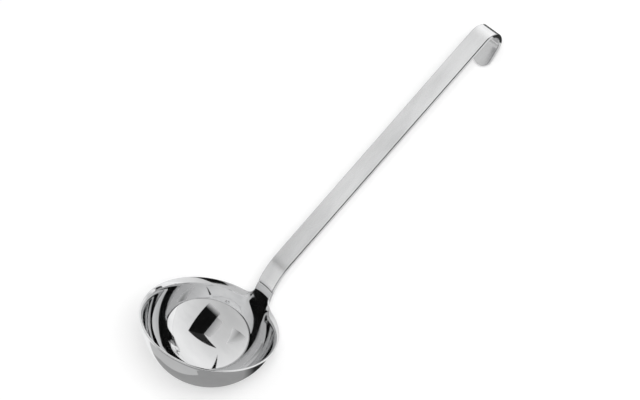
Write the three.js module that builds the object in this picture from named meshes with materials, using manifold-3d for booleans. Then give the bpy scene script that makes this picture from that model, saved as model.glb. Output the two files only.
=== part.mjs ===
// Hook ladle of stainless steel: a pressed bowl with a rolled-out pouring lip and a tongue,
// and a heavy strap handle with a hook at its top, lapped behind the tongue and spot welded.
// Millimetres. The ladle lies on a table on its bowl and on the tip of its hook:
// +X runs from the bowl to the hook, +Y across the strap, +Z up from the table.
import * as THREE from 'three';
import Module from 'manifold-3d';
import { mergeVertices } from 'three/addons/utils/BufferGeometryUtils.js';

const DEGREE = Math.PI / 180;

// Bowl: part of a hollow ball, with a lip rolled outwards round its mouth
const BOWL_RADIUS = 44.8;
const BOWL_DEPTH = 40.5;
const SHEET = 1.2;
const LIP_BEND_RADIUS = 8.2;
const LIP_ANGLE = 40 * DEGREE;

// Tongue: the bowl's own sheet rising from the lip in front of the handle
const TONGUE_LENGTH = 12;
const TONGUE_END_RADIUS = 30;
const TONGUE_FILLET = 6;
const NECK_FADE = 12 * DEGREE;
const NECK_RETURN = 4.4;
const NECK_ANGLE = 84.2 * DEGREE;

// Handle: one flat strap, bent at the neck and over into the hook
const STRAP_WIDTH = 14;
const STRAP_THICKNESS = 3;
const STRAP_BROKEN_EDGE = 0.35;
const STRAP_FOOT = 9;
const STRAP_CORNER = 6;
const NECK_BEND_RADIUS = 44.3;
const HANDLE_ANGLE = 45.3 * DEGREE;
const STRAP_STRAIGHT = 200;
const HOOK_INNER_RADIUS = 8.6;
const HOOK_TURN = 158.7 * DEGREE;
const TAB_LENGTH = 15;

// Joint: the strap is rebated behind the tongue and held by two weld spots
const JOINT_GAP = 0.3;
const WELD_RADIUS = 2.2;
const WELD_THICKNESS = 0.7;
const WELD_GAP = 0.15;
const WELD_SPACING = 6.8;
const WELD_HEIGHT = 7.2;
const CUT_MARGIN = 2;

// Fineness of the round stretches
const BOWL_COLUMNS = 52;
const NECK_COLUMNS = 12;
const BOWL_ROWS = 12;
const LIP_ROWS = 3;
const TONGUE_ROWS = 9;
const CORNER_STEPS = 6;
const NECK_BEND_STEPS = 10;
const HOOK_STEPS = 18;
const WELD_SIDES = 24;

const ballHeight = BOWL_RADIUS - BOWL_DEPTH;
const lipRise = ballHeight + LIP_BEND_RADIUS * Math.cos(LIP_ANGLE);
const lipStart = Math.acos(lipRise / (BOWL_RADIUS + LIP_BEND_RADIUS));
const lipTurn = lipStart - LIP_ANGLE;
const lipLength = LIP_BEND_RADIUS * lipTurn;

// One step along a bent line in the ladle's middle plane: a straight or round stretch
function advance(from, length, turn) {
  const half = turn / 2;
  const chord = half === 0 ? length : (length * Math.sin(half)) / half;
  const heading = from.angle + half;
  return {
    radius: from.radius + chord * Math.cos(heading),
    height: from.height + chord * Math.sin(heading),
    angle: from.angle + turn,
  };
}

// Point of the line moved towards the strap's back by a depth
function behind(place, depth) {
  return new THREE.Vector2(
    place.radius + depth * Math.sin(place.angle),
    place.height - depth * Math.cos(place.angle),
  );
}

const ballEdge = {
  radius: BOWL_RADIUS * Math.sin(lipStart),
  height: ballHeight - BOWL_RADIUS * Math.cos(lipStart),
  angle: lipStart,
};

// Share of the lip's turn at a bearing round the bowl: none at the neck, whole elsewhere
function lipShare(bearing, neckBearing) {
  return THREE.MathUtils.smoothstep(Math.abs(bearing), neckBearing, neckBearing + NECK_FADE);
}

function lipPlace(bearing, along, neckBearing) {
  const turn = -lipTurn * lipShare(bearing, neckBearing);
  return advance(ballEdge, along, (turn * along) / lipLength);
}

const neckEdge = advance(ballEdge, lipLength, 0);
const neckFoot = advance(neckEdge, NECK_RETURN, NECK_ANGLE - neckEdge.angle);

// The tongue's line above the lip's edge: more upright, then along the handle's bend
function tonguePlace(edge, along) {
  const returned = Math.min(along, NECK_RETURN);
  const upright = advance(edge, returned, ((NECK_ANGLE - edge.angle) * returned) / NECK_RETURN);
  const bent = Math.max(along - NECK_RETURN, 0);
  return advance(upright, bent, -bent / NECK_BEND_RADIUS);
}

// Inner face of the bowl and front face of the tongue, as one open sheet
function bowlSheet(halfWidth, tongueLength) {
  const neckBearing = Math.asin(halfWidth / neckEdge.radius);
  const filletBearing = Math.asin((halfWidth + TONGUE_FILLET) / neckEdge.radius);
  const bearings = [];
  for (let i = 0; i <= NECK_COLUMNS; i += 1) {
    bearings.push(filletBearing * ((2 * i) / NECK_COLUMNS - 1));
  }
  const rest = 2 * Math.PI - 2 * filletBearing;
  for (let i = 1; i < BOWL_COLUMNS; i += 1) {
    bearings.push(filletBearing + (rest * i) / BOWL_COLUMNS);
  }
  const points = [new THREE.Vector3(0, 0, ballHeight - BOWL_RADIUS)];
  const rows = [];
  const addRow = (place) => {
    const row = bearings.map((bearing) => {
      const near = bearing > Math.PI ? bearing - 2 * Math.PI : bearing;
      const { radius, height } = place(near);
      points.push(new THREE.Vector3(radius * Math.cos(near), radius * Math.sin(near), height));
      return points.length - 1;
    });
    rows.push(row);
  };
  for (let i = 1; i <= BOWL_ROWS; i += 1) {
    const slope = (lipStart * i) / BOWL_ROWS;
    addRow(() => ({
      radius: BOWL_RADIUS * Math.sin(slope),
      height: ballHeight - BOWL_RADIUS * Math.cos(slope),
    }));
  }
  for (let i = 1; i <= LIP_ROWS; i += 1) {
    addRow((bearing) => lipPlace(bearing, (lipLength * i) / LIP_ROWS, neckBearing));
  }
  const index = [];
  const around = bearings.length;
  for (let i = 0; i < around; i += 1) {
    const next = (i + 1) % around;
    index.push(0, rows[0][i], rows[0][next]);
    for (let j = 0; j + 1 < rows.length; j += 1) {
      const low = rows[j];
      const high = rows[j + 1];
      index.push(low[i], high[i], high[next], low[i], high[next], low[next]);
    }
  }
  let low = rows[rows.length - 1].slice(0, NECK_COLUMNS + 1);
  for (let j = 1; j <= TONGUE_ROWS; j += 1) {
    const high = low.map((_, i) => {
      const across = (2 * i) / NECK_COLUMNS - 1;
      const side = across * halfWidth;
      const endDrop = TONGUE_END_RADIUS - Math.sqrt(TONGUE_END_RADIUS ** 2 - side ** 2);
      const filletRise = TONGUE_FILLET * (1 - Math.cos((Math.PI / 2) * Math.min(j / CORNER_STEPS, 1)));
      const above = Math.max(j - CORNER_STEPS, 0) / (TONGUE_ROWS - CORNER_STEPS);
      const along = filletRise + (tongueLength - endDrop - TONGUE_FILLET) * above;
      const filletSide = 1 - Math.sin((Math.PI / 2) * Math.min(j / CORNER_STEPS, 1));
      const bearing = across * (neckBearing + (filletBearing - neckBearing) * filletSide);
      const edge = lipPlace(bearing, lipLength, neckBearing);
      const { radius, height } = tonguePlace(edge, along);
      const roundness = 1 - THREE.MathUtils.smoothstep(along, 0, TONGUE_LENGTH);
      const sag = edge.radius * (1 - Math.cos(bearing)) * roundness;
      points.push(new THREE.Vector3(radius - sag, edge.radius * Math.sin(bearing), height));
      return points.length - 1;
    });
    for (let i = 0; i < NECK_COLUMNS; i += 1) {
      index.push(low[i], high[i], high[i + 1], low[i], high[i + 1], low[i + 1]);
    }
    low = high;
  }
  const sheet = new THREE.BufferGeometry().setFromPoints(points);
  sheet.setIndex(index);
  sheet.computeVertexNormals();
  return sheet;
}

// Closed body between two depths behind an open sheet
function thicken(sheet, frontDepth, backDepth) {
  const position = sheet.getAttribute('position');
  const normal = sheet.getAttribute('normal');
  const count = position.count;
  const points = [];
  for (const depth of [frontDepth, backDepth]) {
    for (let i = 0; i < count; i += 1) {
      const outward = new THREE.Vector3().fromBufferAttribute(normal, i);
      points.push(new THREE.Vector3().fromBufferAttribute(position, i).addScaledVector(outward, -depth));
    }
  }
  const front = Array.from(sheet.index.array);
  const index = [...front];
  const open = new Map();
  for (let i = 0; i < front.length; i += 3) {
    const corners = front.slice(i, i + 3);
    index.push(corners[0] + count, corners[2] + count, corners[1] + count);
    corners.forEach((from, side) => {
      const to = corners[(side + 1) % 3];
      if (!open.delete(`${to} ${from}`)) open.set(`${from} ${to}`, [from, to]);
    });
  }
  for (const [from, to] of open.values()) {
    index.push(to, from, from + count, to, from + count, to + count);
  }
  const body = new THREE.BufferGeometry().setFromPoints(points);
  body.setIndex(index);
  return body;
}

// Places along the strap's front face from its foot to the hook's tip, with the half width at each
function strapStations() {
  const half = STRAP_WIDTH / 2;
  const stations = [];
  const corner = (step) => {
    const turned = ((Math.PI / 2) * step) / CORNER_STEPS;
    const inset = STRAP_CORNER * (1 - Math.cos(turned));
    return { inset, halfWidth: half - STRAP_CORNER * (1 - Math.sin(turned)) };
  };
  for (let i = 0; i <= CORNER_STEPS; i += 1) {
    const { inset, halfWidth } = corner(i);
    stations.push({ place: advance(neckFoot, inset - STRAP_FOOT, 0), halfWidth });
  }
  const neckTurn = NECK_ANGLE - HANDLE_ANGLE;
  for (let i = 0; i <= NECK_BEND_STEPS; i += 1) {
    const turned = (neckTurn * i) / NECK_BEND_STEPS;
    stations.push({ place: advance(neckFoot, NECK_BEND_RADIUS * turned, -turned), halfWidth: half });
  }
  const hookStart = advance(stations[stations.length - 1].place, STRAP_STRAIGHT, 0);
  const outerRadius = HOOK_INNER_RADIUS + STRAP_THICKNESS;
  for (let i = 0; i <= HOOK_STEPS; i += 1) {
    const turned = (HOOK_TURN * i) / HOOK_STEPS;
    stations.push({ place: advance(hookStart, outerRadius * turned, -turned), halfWidth: half });
  }
  const tabStart = stations[stations.length - 1].place;
  for (let i = CORNER_STEPS; i >= 0; i -= 1) {
    const { inset, halfWidth } = corner(i);
    stations.push({ place: advance(tabStart, TAB_LENGTH - inset, 0), halfWidth });
  }
  return stations;
}

// Flat bar with broken long edges, drawn through the stations
function strapBar(stations) {
  const broken = STRAP_BROKEN_EDGE;
  const thick = STRAP_THICKNESS;
  const points = [];
  const rings = stations.map(({ place, halfWidth }) => {
    const inner = halfWidth - broken;
    const section = [
      [-inner, 0],
      [-halfWidth, broken],
      [-halfWidth, thick - broken],
      [-inner, thick],
      [inner, thick],
      [halfWidth, thick - broken],
      [halfWidth, broken],
      [inner, 0],
    ];
    return section.map(([side, depth]) => {
      const spot = behind(place, depth);
      points.push(new THREE.Vector3(spot.x, side, spot.y));
      return points.length - 1;
    });
  });
  const index = [];
  const sides = rings[0].length;
  for (let i = 0; i + 1 < rings.length; i += 1) {
    for (let k = 0; k < sides; k += 1) {
      const next = (k + 1) % sides;
      index.push(rings[i][k], rings[i][next], rings[i + 1][next]);
      index.push(rings[i][k], rings[i + 1][next], rings[i + 1][k]);
    }
  }
  const first = rings[0];
  const last = rings[rings.length - 1];
  for (let k = 1; k + 1 < sides; k += 1) {
    index.push(first[0], first[k + 1], first[k]);
    index.push(last[0], last[k], last[k + 1]);
  }
  const bar = new THREE.BufferGeometry().setFromPoints(points);
  bar.setIndex(index);
  return bar;
}

// Round disc square to the tongue at the welds' height, between two depths behind its front
function weldDisc(side, radius, frontDepth, backDepth) {
  const place = tonguePlace(neckEdge, WELD_HEIGHT);
  const middle = behind(place, (frontDepth + backDepth) / 2);
  const back = new THREE.Vector3(Math.sin(place.angle), 0, -Math.cos(place.angle));
  const turn = new THREE.Quaternion().setFromUnitVectors(new THREE.Vector3(0, 1, 0), back);
  const disc = new THREE.CylinderGeometry(radius, radius, backDepth - frontDepth, WELD_SIDES);
  disc.applyQuaternion(turn);
  disc.translate(middle.x, (side * WELD_SPACING) / 2, middle.y);
  return disc;
}

const wasm = await Module();
wasm.setup();

function toSolid(geometry) {
  const bare = geometry.clone();
  bare.deleteAttribute('normal');
  bare.deleteAttribute('uv');
  const merged = mergeVertices(bare);
  return new wasm.Manifold(new wasm.Mesh({
    numProp: 3,
    vertProperties: new Float32Array(merged.getAttribute('position').array),
    triVerts: new Uint32Array(merged.index.array),
  }));
}

function fromSolid(solid) {
  const mesh = solid.getMesh();
  const geometry = new THREE.BufferGeometry();
  geometry.setAttribute('position', new THREE.BufferAttribute(new Float32Array(mesh.vertProperties), 3));
  geometry.setIndex(new THREE.BufferAttribute(new Uint32Array(mesh.triVerts), 1));
  return geometry;
}

// Tilt at which the ladle lies: the bowl's ball and the first point of the strap on one table
function lyingTilt(stations) {
  const reach = BOWL_RADIUS + SHEET;
  const tilts = stations.flatMap(({ place }) => [0, STRAP_THICKNESS].map((depth) => {
    const arm = behind(place, depth).sub(new THREE.Vector2(0, ballHeight));
    return Math.atan2(arm.y, arm.x) + Math.asin(Math.min(reach / arm.length(), 1));
  }));
  return Math.min(...tilts);
}

const stations = strapStations();
const halfStrap = STRAP_WIDTH / 2;
const bowl = thicken(bowlSheet(halfStrap, TONGUE_LENGTH), 0, SHEET);
const tongueRoom = thicken(
  bowlSheet(halfStrap + CUT_MARGIN, TONGUE_LENGTH + JOINT_GAP),
  -CUT_MARGIN,
  SHEET + JOINT_GAP,
);
const weldFront = SHEET + WELD_GAP;
const weldBack = weldFront + WELD_THICKNESS;
let handle = toSolid(strapBar(stations)).subtract(toSolid(tongueRoom));
for (const side of [-1, 1]) {
  handle = handle.subtract(toSolid(weldDisc(side, WELD_RADIUS + WELD_GAP, 0, weldBack + WELD_GAP)));
}

const polished = { color: 0xc8cacc, roughness: 0.08, metalness: 1 };
const satin = { color: 0xbcbec0, roughness: 0.4, metalness: 1 };
const fused = { color: 0x8f9194, roughness: 0.6, metalness: 1 };
const pieces = [
  ['bowl', bowl, polished],
  ['handle', fromSolid(handle), satin],
  ['weld_left', weldDisc(1, WELD_RADIUS, weldFront, weldBack), fused],
  ['weld_right', weldDisc(-1, WELD_RADIUS, weldFront, weldBack), fused],
];

const lying = new THREE.Matrix4().makeRotationY(lyingTilt(stations));
const reach = new THREE.Box3();
for (const [, geometry] of pieces) {
  geometry.applyMatrix4(lying);
  geometry.computeBoundingBox();
  reach.union(geometry.boundingBox);
}
const ladle = new THREE.Group();
ladle.name = 'ladle';
for (const [name, geometry, finish] of pieces) {
  geometry.translate(-(reach.min.x + reach.max.x) / 2, 0, -reach.min.z);
  geometry.computeVertexNormals();
  const mesh = new THREE.Mesh(geometry, new THREE.MeshStandardMaterial(finish));
  mesh.name = name;
  ladle.add(mesh);
}

export default ladle;
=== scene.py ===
"""Looks of a hook ladle of stainless steel that lies on a pale table.

The bowl and the strap handle are worked out here as fine smooth surfaces, which stand
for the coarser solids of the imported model. Shapes are in millimetres until a mesh is
made of them, and in metres from there on.
"""

import logging
import math
from dataclasses import dataclass
from enum import Enum

import bpy
import numpy as np
from mathutils import Matrix, Vector


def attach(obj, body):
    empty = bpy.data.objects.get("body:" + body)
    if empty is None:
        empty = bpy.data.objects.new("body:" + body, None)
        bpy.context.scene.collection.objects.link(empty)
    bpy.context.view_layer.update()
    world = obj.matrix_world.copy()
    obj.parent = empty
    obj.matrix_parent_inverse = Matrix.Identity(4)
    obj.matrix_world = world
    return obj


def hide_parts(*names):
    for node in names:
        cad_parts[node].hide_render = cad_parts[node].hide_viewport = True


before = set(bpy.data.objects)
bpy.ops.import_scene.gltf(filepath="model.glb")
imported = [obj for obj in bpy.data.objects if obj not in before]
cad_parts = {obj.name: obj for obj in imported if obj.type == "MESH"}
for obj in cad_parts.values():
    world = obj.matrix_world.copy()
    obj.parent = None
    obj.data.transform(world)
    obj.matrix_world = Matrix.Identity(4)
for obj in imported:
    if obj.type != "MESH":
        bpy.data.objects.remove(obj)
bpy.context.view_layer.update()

log = logging.getLogger("ladle")

MILLIMETRE = 0.001
BODY = "root"
RUN = "strap_run"
BARE_AND_SHADED = "bare_and_shaded_steel"
SHADE = "card_shade"
CLOUD = (0.3, 0.7)
WHITE = (1.0, 1.0, 1.0, 1.0)

Array = np.ndarray
Object = bpy.types.Object
Socket = bpy.types.NodeSocket
Colour = tuple[float, float, float, float]
Triple = tuple[float, float, float]
Pair = tuple[float, float]


class Slot(Enum):
    """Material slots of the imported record."""

    POLISHED = "polished_steel"
    SATIN = "satin_steel"
    FUSED = "weld_steel"


class Weld(Enum):
    """The two weld spots between tongue and strap."""

    LEFT = "weld_left"
    RIGHT = "weld_right"


def smoothstep(value: Array) -> Array:
    """Eases a share from 0 to 1: three times its square less twice its cube, held at both ends.

    Args:
        value: shares, of any size.

    Returns:
        The eased shares.
    """
    held = np.clip(value, 0.0, 1.0)
    return held * held * (3.0 - 2.0 * held)


def advance(place: Array, length: Array | float, turn: Array | float) -> Array:
    """Goes one straight or round step along a bent line in the ladle's middle plane.

    The chord of an arc is its length times the sine of half its turn over half its turn,
    and it points half the turn away from the old heading.

    Args:
        place: radius, height and heading, stacked first.
        length: how far along the line to go.
        turn: by how much the heading changes on the way, in radians.

    Returns:
        The new radius, height and heading, stacked first.
    """
    half = np.asarray(turn) / 2.0
    chord = length * np.sinc(half / np.pi)
    heading = place[2] + half
    radius = place[0] + chord * np.cos(heading)
    height = place[1] + chord * np.sin(heading)
    return np.stack(np.broadcast_arrays(radius, height, place[2] + turn))


class NodeBoard:
    """Node board of the room or of a material."""

    def __init__(self, tree: bpy.types.NodeTree) -> None:
        """Takes up a board.

        Args:
            tree: its nodes and links.
        """
        self.tree = tree

    def node(
        self,
        kind: str,
        values: dict[str | int, object] | None = None,
        settings: dict[str, object] | None = None,
    ) -> bpy.types.Node:
        """Adds a node to the board.

        Args:
            kind: the node's type.
            values: what its input sockets hold, by their name or number.
            settings: its other properties.

        Returns:
            The new node.
        """
        made = self.tree.nodes.new(kind)
        for key, value in (settings or {}).items():
            setattr(made, key, value)
        for key, value in (values or {}).items():
            made.inputs[key].default_value = value
        return made

    def join(self, source: Socket, target: Socket) -> None:
        """Leads one node's output into another's input."""
        self.tree.links.new(source, target)

    def between(self, value: Socket, low: float, high: float, ends: Pair = CLOUD) -> Socket:
        """Spreads a value, such as a cloudy pattern's, over a range of numbers.

        Args:
            value: the value.
            low: the number at its low end.
            high: the number at its high end.
            ends: its low and its high end.

        Returns:
            The number.
        """
        limits = {"From Min": ends[0], "From Max": ends[1], "To Min": low, "To Max": high}
        spread = self.node("ShaderNodeMapRange", limits)
        self.join(value, spread.inputs["Value"])
        return spread.outputs["Result"]

    def looked_at(self) -> Socket:
        """Tells rays that look, from the camera or by way of metal or glass, from rays that light.

        Returns:
            1 on a ray that looks and 0 on one that lights.
        """
        rays = self.node("ShaderNodeLightPath")
        mirrored = self.node("ShaderNodeMath", settings={"operation": "MAXIMUM"})
        seen = self.node("ShaderNodeMath", settings={"operation": "MAXIMUM"})
        self.join(rays.outputs["Is Glossy Ray"], mirrored.inputs[0])
        self.join(rays.outputs["Is Transmission Ray"], mirrored.inputs[1])
        self.join(rays.outputs["Is Camera Ray"], seen.inputs[0])
        self.join(mirrored.outputs[0], seen.inputs[1])
        return seen.outputs[0]


class FinishBoard(NodeBoard):
    """Node board of one material, round its main shader."""

    def __init__(self, name: str) -> None:
        """Starts a bare material.

        Args:
            name: the material's name.
        """
        self.material = bpy.data.materials.new(name)
        self.material.use_nodes = True
        super().__init__(self.material.node_tree)
        self.shader = self.tree.nodes["Principled BSDF"]

    def speckle(
        self, where: Socket, scale: float, detail: float, stretch: Triple = (1.0, 1.0, 1.0)
    ) -> Socket:
        """Adds a cloudy pattern, stretched along the axes.

        Args:
            where: the coordinates that the pattern lies on.
            scale: its grains to the metre.
            detail: how many finer layers it has.
            stretch: factors on the three coordinates.

        Returns:
            The pattern's value, mostly between the ends of CLOUD.
        """
        spread = self.node("ShaderNodeMapping", {"Scale": stretch})
        cloud = self.node("ShaderNodeTexNoise", {"Scale": scale, "Detail": detail})
        self.join(where, spread.inputs["Vector"])
        self.join(spread.outputs["Vector"], cloud.inputs["Vector"])
        return cloud.outputs[0]

    def tint(self, pattern: Socket, low: Colour, high: Colour) -> Socket:
        """Blends two colours by a cloudy pattern.

        Args:
            pattern: the pattern's value.
            low: the colour at its lowest.
            high: the colour at its highest.

        Returns:
            The colour.
        """
        blend = self.node("ShaderNodeMix", {6: low, 7: high}, {"data_type": "RGBA"})
        self.join(self.between(pattern, 0.0, 1.0), blend.inputs[0])
        return blend.outputs[2]

    def relief(self, pattern: Socket, depth: float, under: Socket | None = None) -> Socket:
        """Turns a pattern into small hills and dips of the surface.

        Args:
            pattern: the height, as a share of the depth.
            depth: from the lowest to the highest place, in metres.
            under: a coarser relief that this one lies on.

        Returns:
            The surface's direction.
        """
        bump = self.node("ShaderNodeBump", {"Strength": 1.0, "Distance": depth})
        self.join(pattern, bump.inputs["Height"])
        if under is not None:
            self.join(under, bump.inputs["Normal"])
        return bump.outputs["Normal"]

    def metal(self, colour: Socket, roughness: Socket, direction: Socket) -> bpy.types.Material:
        """Makes the main shader a plain metal.

        Args:
            colour: the colour of what it reflects.
            roughness: how dull it is.
            direction: the way its surface faces.

        Returns:
            The finished material.
        """
        self.shader.inputs["Metallic"].default_value = 1.0
        self.join(colour, self.shader.inputs["Base Color"])
        self.join(roughness, self.shader.inputs["Roughness"])
        self.join(direction, self.shader.inputs["Normal"])
        return self.material


@dataclass(frozen=True)
class PolishedSteel:
    """Mirror polish of the bowl: nearly clear reflections, faintly wavy from the press."""

    bright: Colour = (0.73, 0.732, 0.735, 1.0)
    rubbed: Colour = (0.68, 0.683, 0.688, 1.0)
    clearest: float = 0.02
    dullest: float = 0.07
    wave_scale: float = 38.0
    wave_detail: float = 1.0
    wave_depth: float = 0.000012
    rub_scale: float = 160.0
    rub_detail: float = 4.0
    rub_stretch: Triple = (1.0, 0.35, 0.6)
    scratch_scale: float = 2600.0
    scratch_detail: float = 3.0
    scratch_stretch: Triple = (0.08, 1.0, 0.3)
    scratch_depth: float = 0.0000003

    def material(self) -> bpy.types.Material:
        """Makes the finish: rub marks set its shine, and waves and fine scratches its relief.

        Returns:
            The material.
        """
        board = FinishBoard("mirror_polished_steel")
        where = board.node("ShaderNodeTexCoord").outputs["Object"]
        rub = board.speckle(where, self.rub_scale, self.rub_detail, self.rub_stretch)
        waves = board.speckle(where, self.wave_scale, self.wave_detail)
        scratches = board.speckle(where, self.scratch_scale, self.scratch_detail, self.scratch_stretch)
        colour = board.tint(rub, self.rubbed, self.bright)
        roughness = board.between(rub, self.dullest, self.clearest)
        wavy = board.relief(waves, self.wave_depth)
        return board.metal(colour, roughness, board.relief(scratches, self.scratch_depth, wavy))


@dataclass(frozen=True)
class SatinSteel:
    """Satin finish of the strap: a fine grain along it, and barer, darker steel at its edges, sides and
    back, whose dark colour is partly painted shade.
    """

    bright: Colour = (0.91, 0.912, 0.915, 1.0)
    rubbed: Colour = (0.73, 0.733, 0.738, 1.0)
    # Colour of barer steel, set dark enough to be painted shade as well on the strap's edge facets,
    # sides and back
    bare_and_shaded: Colour = (0.36, 0.362, 0.365, 1.0)
    smoothest: float = 0.16
    roughest: float = 0.25
    bare_roughness: float = 0.07
    bare_from: float = 0.25
    bare_to: float = 0.5
    grain_scale: float = 1.0
    grain_detail: float = 4.0
    grain_stretch: Triple = (70.0, 5200.0, 5200.0)
    grain_depth: float = 0.000006
    smudge_scale: float = 34.0
    smudge_detail: float = 3.0
    smudge_stretch: Triple = (0.5, 1.6, 1.0)

    def material(self) -> bpy.types.Material:
        """Makes the finish on the strap's own run: along it, across it and through it.

        Returns:
            The material.
        """
        board = FinishBoard("satin_steel_along_the_strap")
        where = board.node("ShaderNodeAttribute", settings={"attribute_name": RUN}).outputs["Vector"]
        grain = board.speckle(where, self.grain_scale, self.grain_detail, self.grain_stretch)
        smudge = board.speckle(where, self.smudge_scale, self.smudge_detail, self.smudge_stretch)
        # Share of barer steel and of painted shade on the strap's edges, sides and back
        bare_and_shaded = board.node("ShaderNodeAttribute", settings={"attribute_name": BARE_AND_SHADED}).outputs["Fac"]
        blend = board.node("ShaderNodeMix", {7: self.bare_and_shaded}, {"data_type": "RGBA"})
        board.join(bare_and_shaded, blend.inputs[0])
        board.join(board.tint(smudge, self.rubbed, self.bright), blend.inputs[6])
        limits = {"From Min": self.bare_from, "From Max": self.bare_to, "To Max": self.bare_roughness}
        shine = board.node("ShaderNodeMapRange", limits)
        board.join(bare_and_shaded, shine.inputs["Value"])
        board.join(board.between(grain, self.smoothest, self.roughest), shine.inputs["To Min"])
        relief = board.relief(grain, self.grain_depth)
        return board.metal(blend.outputs[2], shine.outputs["Result"], relief)


@dataclass(frozen=True)
class FusedSteel:
    """Steel that was molten in a weld spot: dull, rippled and faintly straw coloured."""

    grey: Colour = (0.5, 0.5, 0.5, 1.0)
    straw: Colour = (0.55, 0.49, 0.4, 1.0)
    smoothest: float = 0.4
    roughest: float = 0.65
    ripple_scale: float = 900.0
    ripple_detail: float = 3.0
    ripple_depth: float = 0.00004

    def material(self) -> bpy.types.Material:
        """Makes the finish from one ripple pattern.

        Returns:
            The material.
        """
        board = FinishBoard("fused_weld_steel")
        where = board.node("ShaderNodeTexCoord").outputs["Object"]
        ripple = board.speckle(where, self.ripple_scale, self.ripple_detail)
        colour = board.tint(ripple, self.grey, self.straw)
        roughness = board.between(ripple, self.smoothest, self.roughest)
        return board.metal(colour, roughness, board.relief(ripple, self.ripple_depth))


@dataclass(frozen=True)
class LadleLines:
    """The ladle's bent lines in its middle plane, in millimetres and degrees.

    The lines are drawn in the bowl's own frame: its mouth's centre is the origin, the
    handle rises on the side of +x and the bowl's axis points along +z.
    """

    bowl_radius: float = 44.8
    bowl_depth: float = 40.5
    sheet: float = 1.2
    lip_bend_radius: float = 8.2
    lip_angle: float = 40.0
    tongue_length: float = 12.0
    tongue_end_radius: float = 30.0
    tongue_fillet: float = 6.0
    neck_fade: float = 12.0
    flat_share: float = 0.55
    flat_half: float = 8.0
    flat_fade: float = 5.0
    flat_depth: float = 14.0
    neck_return: float = 4.4
    neck_angle: float = 84.2
    neck_bend_radius: float = 44.3
    handle_angle: float = 45.3
    strap_width: float = 14.0
    strap_thickness: float = 3.0
    strap_foot: float = 9.0
    strap_corner: float = 6.0
    strap_straight: float = 200.0
    hook_inner_radius: float = 8.6
    hook_turn: float = 158.7
    tab_length: float = 15.0
    joint_gap: float = 0.3
    lying_tilt: float = 44.4045907768
    mouth_x: float = -116.30176126
    mouth_z: float = 42.92800855

    @property
    def ball_height(self) -> float:
        """Height of the ball's centre above the mouth."""
        return self.bowl_radius - self.bowl_depth

    @property
    def lip_start(self) -> float:
        """Slope at which the lip's bend leaves the ball and still ends at the mouth's height.

        Returns:
            The slope in radians.
        """
        bend = self.lip_bend_radius
        rise = self.ball_height + bend * math.cos(math.radians(self.lip_angle))
        return math.acos(rise / (self.bowl_radius + bend))

    @property
    def lip_turn(self) -> float:
        """By how many radians the lip bends outwards."""
        return self.lip_start - math.radians(self.lip_angle)

    @property
    def lip_length(self) -> float:
        """Length of the lip's line from the ball to its edge."""
        return self.lip_bend_radius * self.lip_turn

    @property
    def ball_edge(self) -> Array:
        """Place where the ball ends and the lip begins."""
        return self.ball_place(np.array(self.lip_start))

    @property
    def neck_edge(self) -> Array:
        """Place of the lip's edge in the middle of the neck."""
        return advance(self.ball_edge, self.lip_length, 0.0)

    @property
    def neck_foot(self) -> Array:
        """Place above the neck's edge where the strap's bend begins."""
        edge = self.neck_edge
        return advance(edge, self.neck_return, math.radians(self.neck_angle) - edge[2])

    @property
    def neck_bearing(self) -> float:
        """Bearing round the bowl, in radians, of the strap's side at the neck."""
        return math.asin(self.strap_width / 2.0 / self.neck_edge[0])

    @property
    def fillet_bearing(self) -> float:
        """Bearing in radians at which the tongue's fillet runs out into the lip."""
        return math.asin((self.strap_width / 2.0 + self.tongue_fillet) / self.neck_edge[0])

    def ball_place(self, slope: Array) -> Array:
        """Finds places on the ball: its radius times the sine outwards, times the cosine down.

        Args:
            slope: angles from the bowl's axis, in radians.

        Returns:
            Radius, height and heading, stacked first.
        """
        radius = self.bowl_radius * np.sin(slope)
        return np.stack([radius, self.ball_height - self.bowl_radius * np.cos(slope), slope])

    def lip_place(self, bearing: Array, along: Array | float) -> Array:
        """Finds places on the lip: it bends evenly outwards, and runs straight up at the neck.

        Args:
            bearing: angles round the bowl from the handle, in radians.
            along: lengths from the ball's edge.

        Returns:
            Radius, height and heading, stacked first.
        """
        share = smoothstep((np.abs(bearing) - self.neck_bearing) / math.radians(self.neck_fade))
        return advance(self.ball_edge, along, -self.lip_turn * share * along / self.lip_length)

    def tongue_place(self, edge: Array, along: Array) -> Array:
        """Finds places on the tongue: more upright above the lip, then along the handle's bend.

        Args:
            edge: places on the lip's edge.
            along: lengths above that edge.

        Returns:
            Radius, height and heading, stacked first.
        """
        returned = np.minimum(along, self.neck_return)
        share = returned / self.neck_return
        upright = advance(edge, returned, (math.radians(self.neck_angle) - edge[2]) * share)
        bent = np.maximum(along - self.neck_return, 0.0)
        return advance(upright, bent, -bent / self.neck_bend_radius)

    def flattening(self, side: Array, below: Array) -> Array:
        """Works out how far the press draws the round sheet out flat at the neck.

        It is a share of the round sheet's sagitta. The share grows up the wall to the lip's
        edge and on to the tongue's end, which is quite flat, and fades out beside the strap.

        Args:
            side: places across the neck.
            below: lengths down the wall from the lip's edge, less than nothing on the tongue.

        Returns:
            How far outwards the sheet lies.
        """
        wall = self.flat_share * smoothstep(1.0 - np.maximum(below, 0.0) / self.flat_depth)
        tongue = (1.0 - self.flat_share) * smoothstep(-below / self.tongue_length)
        reach = self.flat_half + self.flat_fade
        beside = smoothstep((reach - np.abs(side)) / self.flat_fade)
        return self.sagitta(np.clip(side, -reach, reach)) * beside * (wall + tongue)

    def sagitta(self, side: Array) -> Array:
        """Fall of the round lip's edge from the neck's middle to a place beside it."""
        radius = self.neck_edge[0]
        return radius - np.sqrt(radius**2 - side**2)

    def end_drop(self, side: Array) -> Array:
        """Fall of the tongue's round end from its middle to a place beside it: an arc's sagitta."""
        return self.tongue_end_radius - np.sqrt(self.tongue_end_radius**2 - side**2)

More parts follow.
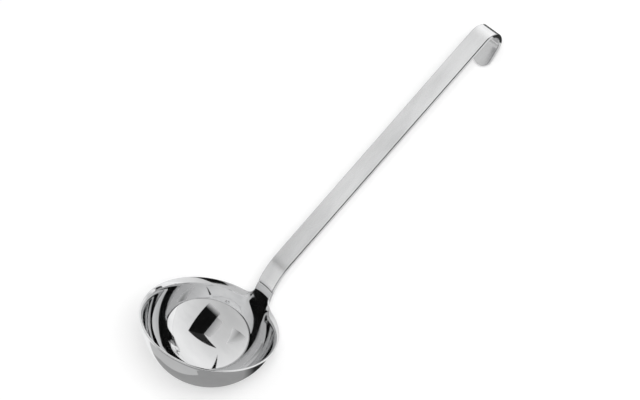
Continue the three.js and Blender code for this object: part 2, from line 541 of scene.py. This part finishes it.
    def on_table(self, points: Array) -> Array:
        """Lays points of the bowl's frame on the table, and turns them into metres.

        Args:
            points: places in the bowl's frame, coordinates last.

        Returns:
            Places in the table's frame: turned about y by the tilt, then moved.
        """
        tilt = math.radians(self.lying_tilt)
        x, y, z = np.moveaxis(points, -1, 0)
        across = x * math.cos(tilt) + z * math.sin(tilt) + self.mouth_x
        upward = z * math.cos(tilt) - x * math.sin(tilt) + self.mouth_z
        return np.stack([across, y, upward], axis=-1) * MILLIMETRE


def make_piece(name: str, points: Array, faces: list[list[int]]) -> Object:
    """Makes a smooth mesh object at the origin.

    Args:
        name: the piece's name.
        points: its vertices in metres, one to a row.
        faces: its faces, as lists of vertex numbers.

    Returns:
        The object, in the scene.
    """
    mesh = bpy.data.meshes.new(name)
    mesh.from_pydata(points.tolist(), [], faces)
    mesh.polygons.foreach_set("use_smooth", np.ones(len(faces), dtype=bool))
    mesh.update()
    piece = bpy.data.objects.new(name, mesh)
    bpy.context.scene.collection.objects.link(piece)
    return piece


def keep_values(piece: Object, name: str, values: Array) -> None:
    """Keeps a number, or a triple of numbers, for each vertex of a piece.

    Args:
        piece: the mesh object.
        name: the name under which a finish reads the numbers.
        values: one number or one row for each vertex.
    """
    kind, field = ("FLOAT", "value") if values.ndim == 1 else ("FLOAT_VECTOR", "vector")
    kept = piece.data.attributes.new(name, kind, "POINT")
    kept.data.foreach_set(field, values.astype(np.float32).ravel())


def sheet_normals(points: Array, quads: Array) -> Array:
    """Works out which way a sheet faces: at each vertex, the sum of its faces' normals.

    The normal of a face is the cross product of its diagonals.

    Args:
        points: the sheet's vertices, one to a row.
        quads: its faces, each as four vertex numbers.

    Returns:
        A direction of length 1 for each vertex.
    """
    corners = points[quads]
    crossed = np.cross(corners[:, 2] - corners[:, 0], corners[:, 3] - corners[:, 1])
    summed = np.zeros_like(points)
    for column in quads.T:
        np.add.at(summed, column, crossed)
    return summed / np.linalg.norm(summed, axis=1, keepdims=True)


@dataclass
class BowlShell:
    """Pressed bowl with its rolled-out lip and its tongue: one even sheet with a round edge."""

    lines: LadleLines
    finish: PolishedSteel
    neck_columns: int = 48
    round_columns: int = 208
    ball_rows: int = 72
    lip_rows: int = 16
    fillet_rows: int = 20
    tongue_rows: int = 14
    edge_reach: float = 0.36
    edge_steps: int = 8

    def bearings(self) -> Array:
        """Spaces the columns round the bowl: even across the neck, and even round the rest.

        Returns:
            Angles from the handle, in radians, from minus to plus half a turn.
        """
        edge = self.lines.fillet_bearing
        neck = np.linspace(-edge, edge, self.neck_columns + 1)
        steps = np.arange(1, self.round_columns) / self.round_columns
        rest = edge + (2.0 * np.pi - 2.0 * edge) * steps
        rest = np.where(rest > np.pi, rest - 2.0 * np.pi, rest)
        return np.concatenate([neck, rest])

    def round_part(self) -> Array:
        """Works out the ball and the lip above it, carried round the axis and drawn out at the neck.

        Returns:
            Points in the bowl's frame: rows from the pole to the edge, columns round it.
        """
        lines = self.lines
        bearing = self.bearings()[None, :]
        slope = (lines.lip_start * np.arange(1, self.ball_rows + 1) / self.ball_rows)[:, None]
        lip_length = lines.lip_length - self.edge_reach
        along = (lip_length * np.arange(1, self.lip_rows + 1) / self.lip_rows)[:, None]
        ball = lines.ball_place(slope + np.zeros_like(bearing))
        radius, height, _ = np.concatenate([ball, lines.lip_place(bearing, along)], axis=1)
        under = lines.bowl_radius * (lines.lip_start - slope)
        below = lines.lip_length + np.concatenate([under, -along])
        side = radius * np.sin(bearing)
        flat = np.where(np.cos(bearing) > 0.0, lines.flattening(side, below), 0.0)
        return np.stack([radius * np.cos(bearing) + flat, side, height], axis=-1)

    def tongue(self) -> Array:
        """Works out the tongue above the neck's edge.

        The lower rows follow a quarter circle at each side, so that the tongue runs out into
        the lip. The upper rows rise evenly to the round end. Across, the sheet is as round
        as the lip at its foot and flat at its end. All round, the outline lies inside the
        tongue's own by the reach of the round edge.

        Returns:
            Points in the bowl's frame: rows upwards, columns across.
        """
        lines, reach = self.lines, self.edge_reach
        half = lines.strap_width / 2.0 - reach
        fillet = lines.tongue_fillet + reach
        across = np.linspace(-1.0, 1.0, self.neck_columns + 1)[None, :]
        turned = np.pi / 2.0 * np.arange(1, self.fillet_rows + 1) / self.fillet_rows
        straight = np.full(self.tongue_rows, np.pi / 2.0)
        quarter = np.concatenate([turned, straight])[:, None]
        above = np.arange(1, self.tongue_rows + 1) / self.tongue_rows
        share = np.concatenate([np.zeros(self.fillet_rows), above])[:, None]
        drop = lines.end_drop(across * half)
        rise = fillet * (1.0 - np.cos(quarter)) - reach
        along = rise + (lines.tongue_length - drop - fillet) * share
        neck_bearing = math.asin(half / lines.neck_edge[0])
        spare = (lines.fillet_bearing - neck_bearing) * (1.0 - np.sin(quarter))
        bearing = across * (neck_bearing + spare)
        edge = lines.lip_place(bearing, lines.lip_length + np.minimum(along, 0.0))
        place = lines.tongue_place(edge, np.maximum(along, 0.0))
        side = edge[0] * np.sin(bearing)
        flat = lines.flattening(side, -along) - edge[0] * (1.0 - np.cos(bearing))
        return np.stack([place[0] + flat, side, place[1]], axis=-1)

    def outline(self, ring: Array, rows: Array) -> Array:
        """Follows the sheet's open edge: round the lip, up the tongue, across it and down.

        Args:
            ring: vertex numbers round the lip's edge.
            rows: vertex numbers of the tongue from the lip's edge upwards.

        Returns:
            Vertex numbers in order.
        """
        lip = ring[self.neck_columns :]
        return np.concatenate([lip, rows[:-1, 0], rows[-1, :-1], rows[:0:-1, -1]])

    def round_edge(self, place: Array, normal: Array) -> Array:
        """Works out the round edge: half an ellipse from the inner face to the outer one.

        A place on it lies outwards by the reach times the sine of its angle, and through the
        sheet by half the thickness times the cosine's difference from 1.

        Args:
            place: points in order along the inner face's edge.
            normal: the way the sheet faces there.

        Returns:
            Points between the faces: rows from one to the other, columns along the edge.
        """
        along = np.roll(place, -1, axis=0) - np.roll(place, 1, axis=0)
        outward = np.cross(along, normal)
        outward /= np.linalg.norm(outward, axis=1, keepdims=True)
        angle = (np.pi * np.arange(1, self.edge_steps) / self.edge_steps)[:, None, None]
        through = self.lines.sheet / 2.0 * (1.0 - np.cos(angle))
        return place + self.edge_reach * np.sin(angle) * outward - through * normal

    def inner_face(self) -> tuple[Array, Array, Array, Array]:
        """Joins pole, rounds and tongue into the sheet's inner face.

        Returns:
            Its points, the triangles at its pole, its quads, and the vertices of its open edge.
        """
        around = self.round_part()
        tongue = self.tongue()
        pole = np.array([[0.0, 0.0, -self.lines.bowl_depth]])
        points = np.concatenate([pole, around.reshape(-1, 3), tongue.reshape(-1, 3)])
        ring = 1 + np.arange(around.shape[0] * around.shape[1]).reshape(around.shape[:2])
        following = np.roll(ring, -1, axis=1)
        fan = np.stack([np.zeros_like(ring[0]), ring[0], following[0]], axis=-1)
        walls = np.stack([ring[:-1], ring[1:], following[1:], following[:-1]], axis=-1)
        first = 1 + ring.size
        rows = first + np.arange(tongue.shape[0] * tongue.shape[1]).reshape(tongue.shape[:2])
        rows = np.concatenate([ring[-1:, : self.neck_columns + 1], rows])
        flaps = np.stack([rows[:-1, :-1], rows[1:, :-1], rows[1:, 1:], rows[:-1, 1:]], axis=-1)
        quads = np.concatenate([walls.reshape(-1, 4), flaps.reshape(-1, 4)])
        return points, fan, quads, self.outline(ring[-1], rows)

    def build(self) -> Object:
        """Sets the outer face behind the inner one and joins both by the round edge.

        Returns:
            The bowl.
        """
        lines = self.lines
        inner, fan, quads, loop = self.inner_face()
        normals = sheet_normals(inner, np.concatenate([fan[:, [0, 1, 2, 2]], quads]))
        outer = inner - lines.sheet * normals
        edge = self.round_edge(inner[loop], normals[loop])
        count = len(inner)
        between = 2 * count + np.arange(edge.shape[0] * loop.size).reshape(edge.shape[:2])
        strip = np.concatenate([loop[None, :], between, count + loop[None, :]])
        ahead = np.roll(strip, -1, axis=1)
        rolled = np.stack([ahead[:-1], strip[:-1], strip[1:], ahead[1:]], axis=-1).reshape(-1, 4)
        quads = np.concatenate([quads, count + quads[:, ::-1], rolled])
        fans = np.concatenate([fan, count + fan[:, ::-1]])
        points = np.concatenate([inner, outer, edge.reshape(-1, 3)])
        return make_piece("ladle_bowl", lines.on_table(points), fans.tolist() + quads.tolist())

    def dress(self, bowl: Object) -> None:
        """Gives the bowl its polish and its place in the frame.

        Args:
            bowl: the bowl's object.
        """
        bowl.data.materials.append(self.finish.material())
        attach(bowl, BODY)
        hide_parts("bowl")


@dataclass
class StrapHandle:
    """Flat strap bent at the neck and into the hook, rebated behind the bowl's tongue.

    Lengths are in millimetres, and the factors on the darker steel, which is partly painted shade,
    multiply shares from 0 to 1.
    """

    lines: LadleLines
    finish: SatinSteel
    edge_width: float = 0.46
    edge_depth: float = 0.29
    edge_points: tuple[float, ...] = (-0.15, 0.0, 0.12, 0.88, 1.0, 1.0)
    end_steps: int = 7
    # Factors of the darker steel; on facets, sides and back its darkness is partly painted shade
    facet_bareness_and_shade: float = 9.0
    end_bareness: float = 3.0
    side_bareness_and_shade: float = 0.5
    back_bareness_and_shade: float = 0.2
    seam_break: float = 0.35
    seam_step: float = 0.05
    across_steps: int = 14
    side_steps: int = 3
    corner_rows: int = 20
    foot_rows: int = 16
    neck_rows: int = 30
    straight_rows: int = 60
    hook_rows: int = 64
    tab_rows: int = 10
    seam_reach: float = 6.0
    sharp_angle: float = 40.0
    wall_from: float = 0.7
    wall_steps: int = 20

    @property
    def seam(self) -> float:
        """Length above the neck's foot at which the tongue's end lies, in the strap's middle."""
        lines = self.lines
        return lines.tongue_length + lines.joint_gap - lines.neck_return

    @property
    def bends(self) -> Array:
        """Works out where the strap's stretches end.

        Returns:
            Lengths above the neck's foot at which neck, straight, hook and tab end.
        """
        lines = self.lines
        neck = lines.neck_bend_radius * math.radians(lines.neck_angle - lines.handle_angle)
        outer = lines.hook_inner_radius + lines.strap_thickness
        hook = outer * math.radians(lines.hook_turn)
        return np.cumsum([neck, lines.strap_straight, hook, lines.tab_length])

    def front_place(self, run: Array) -> Array:
        """Follows the strap's front: straight foot, neck bend, straight, hook bend and tab in turn.

        Args:
            run: lengths above the neck's foot, less than nothing on the foot.

        Returns:
            Radius, height and heading, stacked first.
        """
        lines = self.lines
        neck, straight, hook, _ = self.bends
        outer = lines.hook_inner_radius + lines.strap_thickness
        foot = lines.neck_foot.reshape((3,) + (1,) * np.ndim(run))
        place = advance(foot, np.minimum(run, 0.0), 0.0)
        bent = np.clip(run, 0.0, neck)
        place = advance(place, bent, -bent / lines.neck_bend_radius)
        place = advance(place, np.clip(run - neck, 0.0, straight - neck), 0.0)
        hooked = np.clip(run - straight, 0.0, hook - straight)
        place = advance(place, hooked, -hooked / outer)
        return advance(place, np.maximum(run - hook, 0.0), 0.0)

    def rows(self) -> tuple[Array, Array]:
        """Spaces the rows along the strap, closer where it bends and at its round ends.

        Returns:
            Lengths above the neck's foot, and for each row whether it lies behind the tongue.
        """
        lines = self.lines
        neck, straight, hook, end = self.bends
        quarter = np.linspace(0.0, np.pi / 2.0, self.corner_rows)
        corner = lines.strap_corner * (1.0 - np.cos(quarter))
        edge = self.edge_depth * (1.0 - np.cos(quarter[:: self.corner_rows // self.end_steps]))
        ends = np.unique(np.concatenate([corner, edge]).round(4))
        foot = np.linspace(lines.strap_corner - lines.strap_foot, self.seam, self.foot_rows)
        behind = np.concatenate([ends - lines.strap_foot, foot[1:]])
        ahead = np.concatenate(
            [
                [self.seam + self.seam_step],
                np.linspace(self.seam + self.seam_break, neck, self.neck_rows),
                np.linspace(neck, straight, self.straight_rows)[1:],
                np.linspace(straight, hook, self.hook_rows)[1:],
                np.linspace(hook, end - lines.strap_corner, self.tab_rows)[1:],
                (end - ends)[::-1][1:],
            ]
        )
        hidden = np.arange(behind.size + ahead.size) < behind.size
        return np.concatenate([behind, ahead]), hidden

    def end_inset(self, run: Array, corner: float) -> Array:
        """Draws the outline in near both ends by a quarter circle.

        Args:
            run: lengths above the neck's foot.
            corner: the quarter circle's radius.

        Returns:
            How far the outline lies inside its full size.
        """
        left = np.minimum(run + self.lines.strap_foot, self.bends[-1] - run)
        short = corner - np.clip(left, 0.0, corner)
        return corner - np.sqrt(corner**2 - short**2)

    def section(self) -> Array:
        """Draws the strap's section once round: a rectangle whose edges are broken by a flat facet.

        Close beside both ends of a facet lie more points, so it meets the flats in a small bend.

        Returns:
            Four rows of shares: side of the flat part, side on the edge, depth of the flat
            part and depth on the edge.
        """
        out = np.array(self.edge_points)
        back = out[::-1]
        flat = np.linspace(-1.0, 1.0, self.across_steps + 1)[1:-1]
        deep = np.linspace(0.0, 1.0, self.side_steps + 1)[1:-1]
        parts = [
            [-1.0, -out, 0.0, -back],
            [-1.0, -1.0, deep, 0.0],
            [-1.0, -back, 1.0, out],
            [flat, 0.0, 1.0, 1.0],
            [1.0, out, 1.0, back],
            [1.0, 1.0, deep[::-1], 0.0],
            [1.0, back, 0.0, -out],
            [-flat, 0.0, 0.0, -1.0],
        ]
        return np.concatenate([np.stack(np.broadcast_arrays(*part)) for part in parts], axis=1)

    def rebate(self, run: Array, side: Array) -> Array:
        """Works out how deep the strap's front lies back behind the tongue and the bowl's lip.

        The front keeps the joint's gap behind the back of the sheet. Down the foot the sheet
        leans away from the strap, and to the sides it curves away, so the rebate runs out there.

        Args:
            run: lengths above the neck's foot.
            side: places across the strap.

        Returns:
            Depths behind the strap's own front.
        """
        lines = self.lines
        steps = self.wall_steps
        ball = lines.ball_place(lines.lip_start * np.linspace(self.wall_from, 1.0, steps))
        lip = lines.lip_place(np.zeros(steps), np.linspace(0.0, lines.lip_length, steps))
        edge = lines.neck_edge[:, None]
        upright = lines.tongue_place(edge, np.linspace(0.0, lines.neck_return, steps))
        line = np.concatenate([ball, lip[:, 1:], upright[:, 1:]], axis=1)
        foot = lines.neck_foot
        apart = line[:2] - foot[:2, None]
        along = apart[0] * math.cos(foot[2]) + apart[1] * math.sin(foot[2])
        inward = apart[1] * math.cos(foot[2]) - apart[0] * math.sin(foot[2])
        lean = np.where(run < 0.0, np.interp(run, along, inward), 0.0)
        sag = lines.sagitta(side) - lines.flattening(side, -run - lines.neck_return)
        return np.maximum(lines.sheet + lines.joint_gap - lean - sag, 0.0)

    def bareness_and_shade(self, inset: Array, broken: Array) -> Array:
        """Works out the strap's share of barer, darker steel, partly painted shade: full on its edges,
        less on its sides and back.

        Args:
            inset: how far the outline lies in at the strap's ends.
            broken: how far the front lies back at the seam.

        Returns:
            Shares from 0, which is satin, to 1, which is the barer, darker colour.
        """
        flat_side, round_side, _, round_depth = self.section()
        beside = np.maximum(flat_side * round_side, 0.0)
        facets = np.minimum(beside, np.abs(round_depth)) * self.facet_bareness_and_shade
        seam = broken / self.seam_break * np.maximum(-round_depth, 0.0)
        ends = np.maximum(inset / self.edge_depth, seam) * self.end_bareness
        flats = np.maximum(self.side_bareness_and_shade * beside, self.back_bareness_and_shade * round_depth)
        return np.clip(np.maximum(np.maximum(facets, ends), flats), 0.0, 1.0)

    def build(self) -> Object:
        """Carries the section along the strap's front and closes both ends.

        Rows near the seam follow the round end of the tongue. Each vertex keeps its run, which is its
        places along, across and through the strap, and its share of barer, darker steel, which is
        partly painted shade.

        Returns:
            The handle.
        """
        lines = self.lines
        run, hidden = self.rows()
        run, hidden = run[:, None], hidden[:, None]
        flat_side, round_side, flat_depth, round_depth = self.section()
        wide, deep, thick = self.edge_width, self.edge_depth, lines.strap_thickness
        half = lines.strap_width / 2.0 - self.end_inset(run, lines.strap_corner)
        side = flat_side * (half - wide) + wide * round_side
        depth = deep + (thick - 2.0 * deep) * flat_depth + deep * round_depth
        start = lines.strap_corner - lines.strap_foot
        below = np.clip((run - start) / (self.seam - start), 0.0, 1.0)
        above = np.clip((self.seam + self.seam_reach - run) / self.seam_reach, 0.0, 1.0)
        broken = np.clip(self.seam + self.seam_break - run, 0.0, self.seam_break)
        run = run - lines.end_drop(side) * np.minimum(below, above)
        inset = self.end_inset(run, deep)
        front = np.where(hidden, self.rebate(run, side), broken) + inset
        depth = front + depth * (thick - inset - front) / thick
        place = self.front_place(run)
        radius = place[0] + depth * np.sin(place[2])
        height = place[1] - depth * np.cos(place[2])
        points = np.stack([radius, side, height], axis=-1)
        ring = np.arange(side.size).reshape(side.shape)
        following = np.roll(ring, -1, axis=1)
        quads = np.stack([ring[:-1], following[:-1], following[1:], ring[1:]], axis=-1)
        faces = quads.reshape(-1, 4).tolist() + [ring[0, ::-1].tolist(), ring[-1].tolist()]
        handle = make_piece("ladle_handle", lines.on_table(points.reshape(-1, 3)), faces)
        handle.data.set_sharp_from_angle(angle=math.radians(self.sharp_angle))
        spots = np.stack([run, side, depth], axis=-1) * MILLIMETRE
        keep_values(handle, RUN, spots.reshape(-1, 3))
        # Keeps the share of barer, darker steel, which is partly painted shade
        keep_values(handle, BARE_AND_SHADED, self.bareness_and_shade(inset, broken).ravel())
        return handle

    def dress(self, handle: Object) -> None:
        """Gives the handle its satin finish and its place in the frame.

        Args:
            handle: the handle's object.
        """
        handle.data.materials.append(self.finish.material())
        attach(handle, BODY)
        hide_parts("handle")


@dataclass
class WeldSpots:
    """The two weld spots between tongue and strap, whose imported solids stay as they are."""

    finish: FusedSteel

    def dress(self) -> list[Object]:
        """Gives both spots their dull finish.

        Returns:
            The two spots.
        """
        fused = self.finish.material()
        spots = [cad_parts[weld.value] for weld in Weld]
        for spot in spots:
            spot.data.materials.clear()
            spot.data.materials.append(fused)
        return spots


@dataclass(frozen=True)
class CameraStand:
    """The camera: where it stands in metres, the way back to it, its upward side and its lens."""

    place: Triple = (-0.102864, -0.674152, 1.260478)
    backward: Triple = (-0.068434, -0.482841, 0.87303)
    upward: Triple = (0.745824, 0.556448, 0.366214)
    lens: float = 118.133
    sensor: float = 36.0

    def turn(self) -> Matrix:
        """Squares the camera's sideways, upward and backward directions.

        Returns:
            The three directions as columns.
        """
        backward = Vector(self.backward).normalized()
        sideways = Vector(self.upward).cross(backward).normalized()
        return Matrix((sideways, backward.cross(sideways), backward)).transposed()

    def build(self) -> Object:
        """Puts up the camera and makes it the scene's own.

        Returns:
            The camera.
        """
        data = bpy.data.cameras.new("camera")
        data.lens = self.lens
        data.sensor_width = self.sensor
        camera = bpy.data.objects.new("camera", data)
        camera.matrix_world = Matrix.Translation(self.place) @ self.turn().to_4x4()
        bpy.context.scene.collection.objects.link(camera)
        bpy.context.scene.camera = camera
        return camera


@dataclass(frozen=True)
class Card:
    """A flat card beside the picture, which only reflections show: a painted reflection.

    Its corners are in metres, and its greys are one for all of it or one for each corner.
    """

    name: str
    greys: tuple[float, ...]
    corners: tuple[Triple, ...]

    def build(self) -> Object:
        """Hangs or lays the card, hidden from the camera and from the light on the floor.

        Returns:
            The card, whose grey is the same all over or fades from corner to corner.
        """
        count = len(self.corners)
        card = make_piece(self.name, np.array(self.corners), [list(range(count))])
        keep_values(card, SHADE, np.resize(np.array(self.greys), count))
        board = FinishBoard(self.name + "_painted_reflection")
        shade = board.node("ShaderNodeAttribute", settings={"attribute_name": SHADE})
        board.join(shade.outputs["Fac"], board.shader.inputs["Base Color"])
        board.shader.inputs["Roughness"].default_value = 1.0
        board.shader.inputs["Specular IOR Level"].default_value = 0.0
        card.data.materials.append(board.material)
        card.visible_camera = False
        card.visible_diffuse = False
        card.visible_shadow = False
        return card


def floor_card(name: str, greys: tuple[float, ...], outline: tuple[Pair, ...], lift: float) -> Card:
    """Lays a card just above the floor, which only the metal reflects: mostly painted shadow of the
    ladle, and once a painted greyer floor further off.

    Args:
        name: the card's name.
        greys: its grey, or one for each corner.
        outline: its corners' places along and across the ladle.
        lift: its height above the floor.

    Returns:
        The card.
    """
    return Card(name, greys, tuple((x, y, lift) for x, y in outline))


BLACK_REFLECTION_GREY = 0.008
# Painted shadow: greys of the cards that put the ladle's shadow on the floor into reflections
NEAR_SHADOW_GREY = 0.38
CONTACT_SHADOW_GREY = 0.03
FLOOR_CARD_LIFT = 0.001
CONTACT_SHADOW_LIFT = 0.002

# Corners that cards share, so that no gap shows between them
OPENING_LEFT = (-0.274, -0.557, 1.451)
OPENING_LOW_LEFT = (-0.305, -1.213, 1.088)
OPENING_LOW_RIGHT = (1.425, -1.172, 1.092)
OPENING_INNER = (0.779, -0.484, 1.48)
NEAR_SHADOW_EDGE = ((-0.198, 0.055), (-0.222, 0.045), (-0.232, -0.05), (-0.3, -0.078))
CONTACT_SHADOW_EDGE = ((-0.122, -0.03), (-0.124, -0.075))

# Painted reflections: the hanging cards paint the room's dark opening, slit, dim panel, glow and grey
# wall into the metal
CARDS = (
    Card(
        "dark_opening",
        (BLACK_REFLECTION_GREY,),
        (OPENING_LEFT, OPENING_LOW_LEFT, OPENING_LOW_RIGHT, OPENING_INNER),
    ),
    Card("dark_opening_arm", (0.04,), (OPENING_LOW_RIGHT, (1.28, 0.818, 2.195), OPENING_INNER)),
    Card(
        "faded_opening_edge",
        (BLACK_REFLECTION_GREY, BLACK_REFLECTION_GREY, 0.9, 0.9),
        (OPENING_LEFT, OPENING_LOW_LEFT, (-0.583, -1.203, 1.096), (-0.552, -0.548, 1.459)),
    ),
    Card(
        "glow_beside_opening",
        (0.5, 0.5, 0.92, 0.92),
        (OPENING_LEFT, OPENING_INNER, (0.752, -0.17, 1.654), (-0.301, -0.243, 1.625)),
    ),
    Card(
        "dim_panel",
        (0.35, 0.98, 0.98, 0.98),
        ((-0.425, 0.692, 1.337), (-0.384, 1.089, 1.04), (0.299, 0.586, 1.36), (-0.389, 0.278, 1.492)),
    ),
    Card(
        "dark_slit",
        (BLACK_REFLECTION_GREY,),
        ((0.738, 0.667, 1.031), (0.972, 0.985, 0.27), (0.882, 1.068, 0.27)),
    ),
    Card(
        "grey_side_wall",
        (0.45, 0.45, 0.9, 0.9),
        ((-1.3, 0.1, 0.0), (-0.8, 1.2, 0.0), (-0.8, 1.2, 0.9), (-1.3, 0.1, 0.9)),
    ),
    # Painted shadow: these floor cards put the shade under the hook, behind the strap and round the
    # bowl into the metal only, and the far card a painted greyer floor
    floor_card(
        "hook_painted_shadow",
        (0.05,),
        ((0.147, -0.008), (0.1585, -0.008), (0.1585, -0.03), (0.2, -0.03), (0.2, 0.03), (0.147, 0.03)),
        FLOOR_CARD_LIFT,
    ),
    floor_card("strap_painted_shadow", (0.5,), ((0.07, 0.007), (0.14, 0.007), (0.14, 0.03), (0.07, 0.03)), FLOOR_CARD_LIFT),
    floor_card("near_painted_shadow", (NEAR_SHADOW_GREY,), (*NEAR_SHADOW_EDGE, (-0.3, -0.14), (-0.04, -0.14)), FLOOR_CARD_LIFT),
    floor_card(
        "contact_painted_shadow_fade",
        (NEAR_SHADOW_GREY, NEAR_SHADOW_GREY, CONTACT_SHADOW_GREY, CONTACT_SHADOW_GREY),
        ((-0.135, -0.03), (-0.137, -0.075), *CONTACT_SHADOW_EDGE[::-1]),
        CONTACT_SHADOW_LIFT,
    ),
    floor_card("contact_painted_shadow", (CONTACT_SHADOW_GREY,), (*CONTACT_SHADOW_EDGE, (-0.1, -0.075), (-0.1, -0.03)), CONTACT_SHADOW_LIFT),
    floor_card(
        "far_painted_reflection",
        (0.62,),
        ((-0.246, 0.115), (-0.5, 0.115), (-0.5, -0.078), *NEAR_SHADOW_EDGE[::-1]),
        FLOOR_CARD_LIFT,
    ),
)


@dataclass
class Studio:
    """Plain pale floor, soft room light, and the cards round the picture, which paint reflections."""

    stand: CameraStand
    cards: tuple[Card, ...] = CARDS
    floor_half: float = 4.0
    floor_colour: Colour = (0.9, 0.9, 0.9, 1.0)
    floor_roughness: float = 0.9
    floor_lift: float = 0.15
    lamp_place: Triple = (0.25, -1.02, 1.85)
    lamp_size: float = 1.1
    lamp_power: float = 24.0
    room_fill: float = 0.63
    room_dim: float = 0.68
    room_bright: float = 1.1
    dim_side: float = -1.0
    bright_side: float = 0.25
    bright_way: Triple = (0.52, 0.14, -0.84)

    def floor(self) -> Object:
        """Lays the floor: pale, shadowed by the ladle, and lifted to white where it is looked at.

        Returns:
            The floor.
        """
        half = self.floor_half
        x = np.array([-half, half, half, -half])
        corners = np.stack([x, np.roll(x, 1), np.zeros_like(x)], axis=-1)
        floor = make_piece("floor", corners, [[0, 1, 2, 3]])
        board = FinishBoard("pale_floor")
        shader = board.shader
        shader.inputs["Base Color"].default_value = self.floor_colour
        shader.inputs["Roughness"].default_value = self.floor_roughness
        shader.inputs["Specular IOR Level"].default_value = 0.0
        shader.inputs["Emission Color"].default_value = WHITE
        lift = board.node("ShaderNodeMath", {1: self.floor_lift}, {"operation": "MULTIPLY"})
        board.join(board.looked_at(), lift.inputs[0])
        board.join(lift.outputs[0], shader.inputs["Emission Strength"])
        floor.data.materials.append(board.material)
        return floor

    def room(self) -> bpy.types.World:
        """Lights the room: an even soft fill, whose walls look brighter on one side.

        What is seen in a direction rises evenly with its cosine to the bright way, which is
        given by the camera's sideways, upward and backward directions.

        Returns:
            The world.
        """
        world = bpy.data.worlds.new("soft_room")
        world.use_nodes = True
        board = NodeBoard(world.node_tree)
        where = board.node("ShaderNodeTexCoord").outputs["Generated"]
        way = self.stand.turn() @ Vector(self.bright_way)
        aside = board.node("ShaderNodeVectorMath", {1: way}, {"operation": "DOT_PRODUCT"})
        board.join(where, aside.inputs[0])
        sides = (self.dim_side, self.bright_side)
        level = board.between(aside.outputs["Value"], self.room_dim, self.room_bright, sides)
        fill = board.node("ShaderNodeMix", {2: self.room_fill})
        board.join(board.looked_at(), fill.inputs[0])
        board.join(level, fill.inputs[3])
        background = board.tree.nodes["Background"]
        background.inputs["Color"].default_value = WHITE
        board.join(fill.outputs[0], background.inputs["Strength"])
        bpy.context.scene.world = world
        return world

    def lamp(self) -> Object:
        """Hangs the soft lamp beside the camera, aimed at the ladle's middle.

        Returns:
            The lamp, which lights and casts shadows but isn't mirrored.
        """
        data = bpy.data.lights.new("soft_lamp", "AREA")
        data.shape = "SQUARE"
        data.size = self.lamp_size
        data.energy = self.lamp_power
        lamp = bpy.data.objects.new("soft_lamp", data)
        place = Vector(self.lamp_place)
        turn = place.to_track_quat("Z", "Y").to_matrix().to_4x4()
        lamp.matrix_world = Matrix.Translation(place) @ turn
        lamp.visible_glossy = False
        bpy.context.scene.collection.objects.link(lamp)
        return lamp


def main() -> None:
    """Builds the studio and the ladle's pieces in order, and reports each."""
    logging.basicConfig(level=logging.INFO, format="%(message)s")
    bpy.context.scene.view_settings.view_transform = "Standard"
    stand = CameraStand()
    stand.build()
    studio = Studio(stand)
    cards = [card.build() for card in studio.cards]
    for prop in [studio.floor(), studio.room(), studio.lamp(), *cards]:
        log.info("stage: %s", prop.name)
    lines = LadleLines()
    shell = BowlShell(lines, PolishedSteel())
    bowl = shell.build()
    shell.dress(bowl)
    log.info("piece: %s, %d faces", bowl.name, len(bowl.data.polygons))
    strap = StrapHandle(lines, SatinSteel())
    handle = strap.build()
    strap.dress(handle)
    log.info("piece: %s, %d faces", handle.name, len(handle.data.polygons))
    for spot in WeldSpots(FusedSteel()).dress():
        log.info("piece: %s, packed solid with a weld finish", spot.name)


if __name__ == "__main__":
    main()
